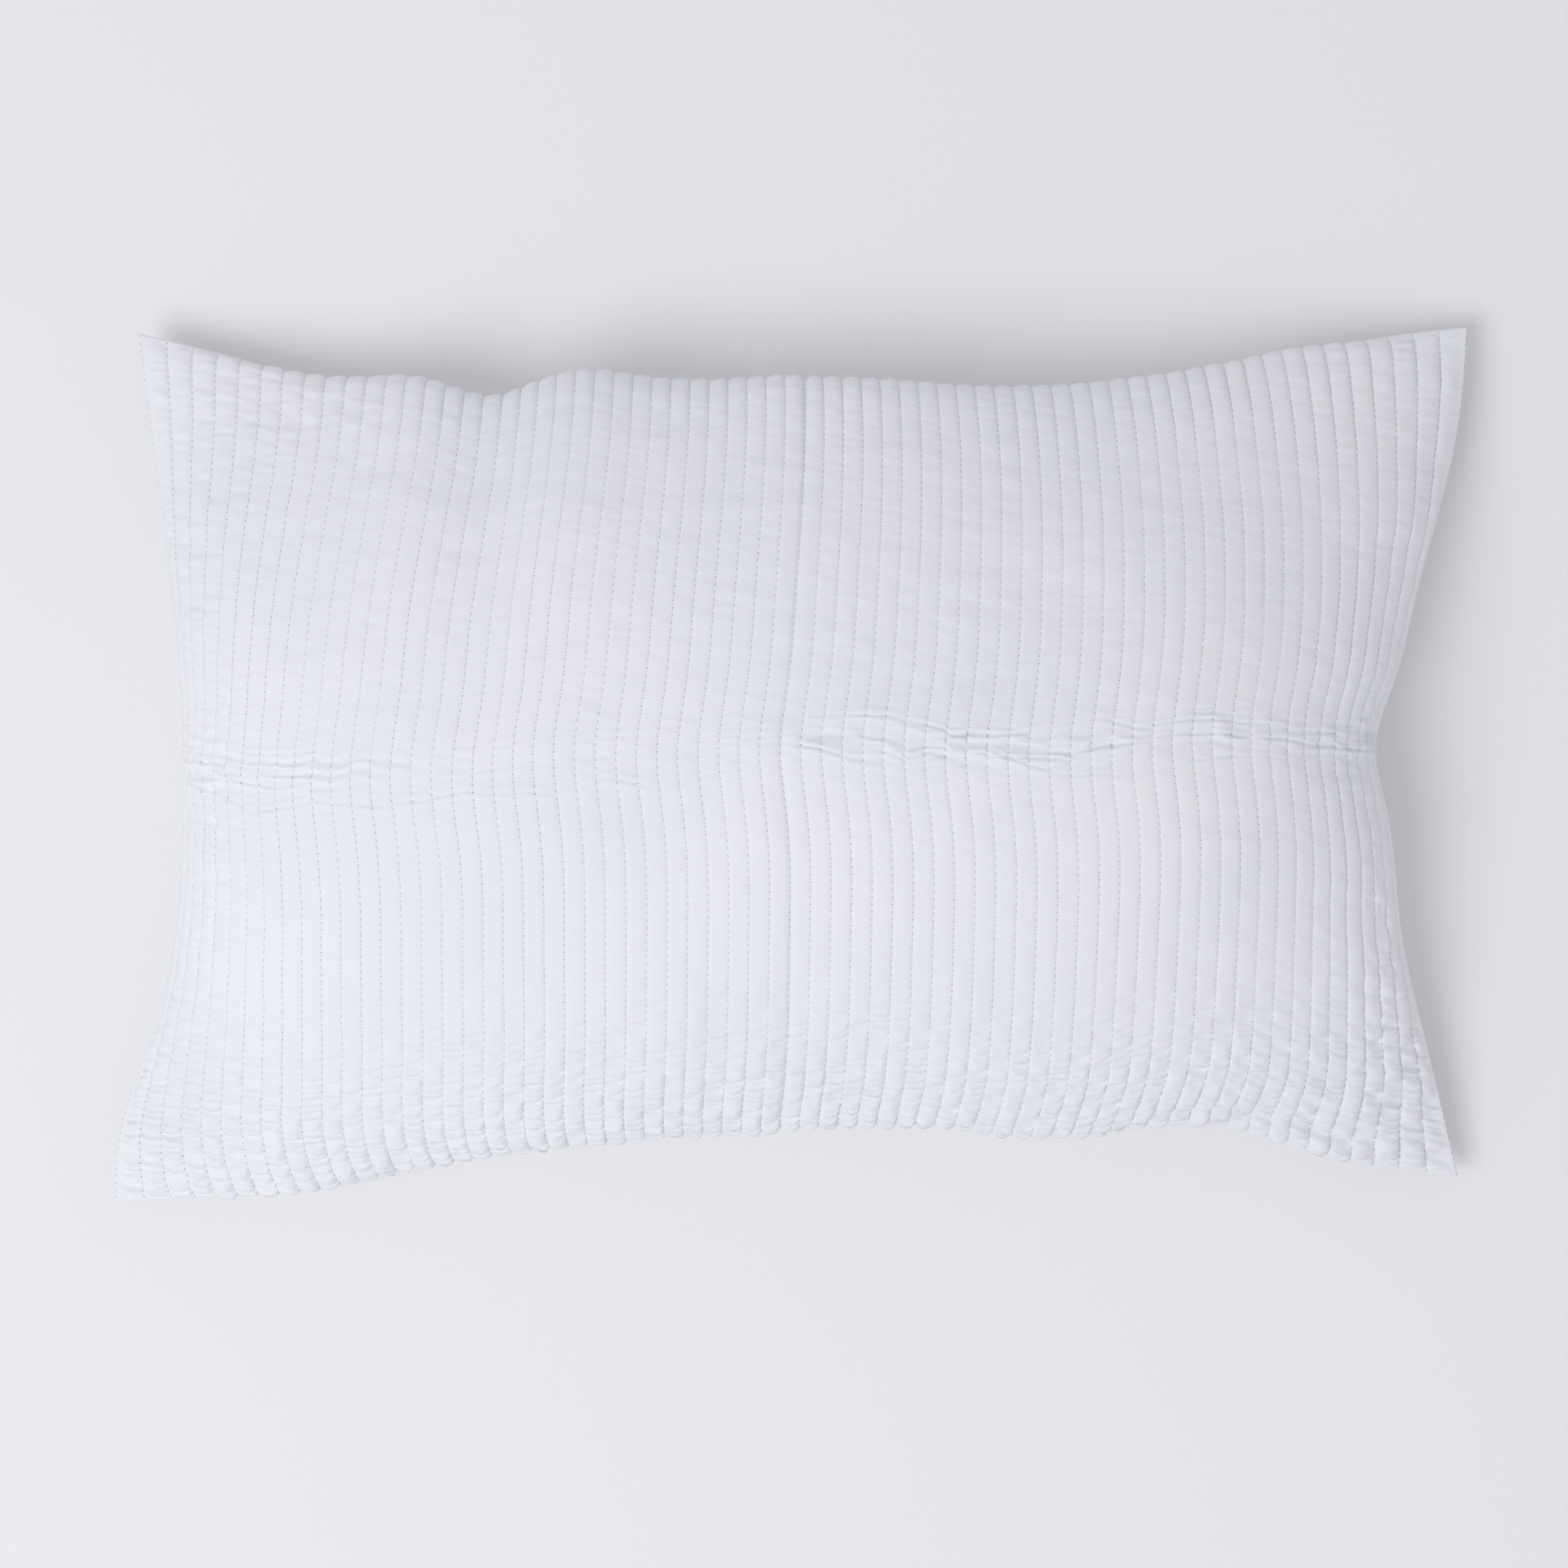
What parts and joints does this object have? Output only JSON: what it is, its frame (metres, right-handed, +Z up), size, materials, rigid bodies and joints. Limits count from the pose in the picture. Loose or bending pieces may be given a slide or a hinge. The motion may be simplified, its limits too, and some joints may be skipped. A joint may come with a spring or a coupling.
{
  "type": "bed pillow",
  "caption": "Rectangular bed pillow: a channel-quilted white cotton sham with pointed corners and a lapped envelope back, over a fibre-filled insert.",
  "frame": {"origin": "under the pillow's centre, on the plane it lies on", "axes": "+X along the pillow's length, +Y along its width, +Z up out of the quilted front"},
  "size_m": [0.738, 0.486, 0.168],
  "materials": {
    "face_cotton": "washed white cotton percale, channel-quilted",
    "wadding": "bonded polyester wadding",
    "lining_muslin": "thin unbleached muslin",
    "back_cotton": "plain white cotton percale",
    "ticking": "close-woven off-white cotton ticking",
    "fibre_fill": "loose polyester fibre",
    "label_satin": "blank woven satin tape"
  },
  "bodies": {
    "root": {"sham_front_face": "face_cotton", "sham_front_wadding": "wadding", "sham_front_lining": "lining_muslin", "sham_back_outer_panel": "back_cotton", "sham_back_inner_panel": "back_cotton", "sham_care_label": "label_satin", "insert_ticking_top": "ticking", "insert_ticking_bottom": "ticking", "insert_edge_piping": "ticking", "insert_fibre_fill": "fibre_fill", "insert_law_label": "label_satin"}
  },
  "joints": []
}
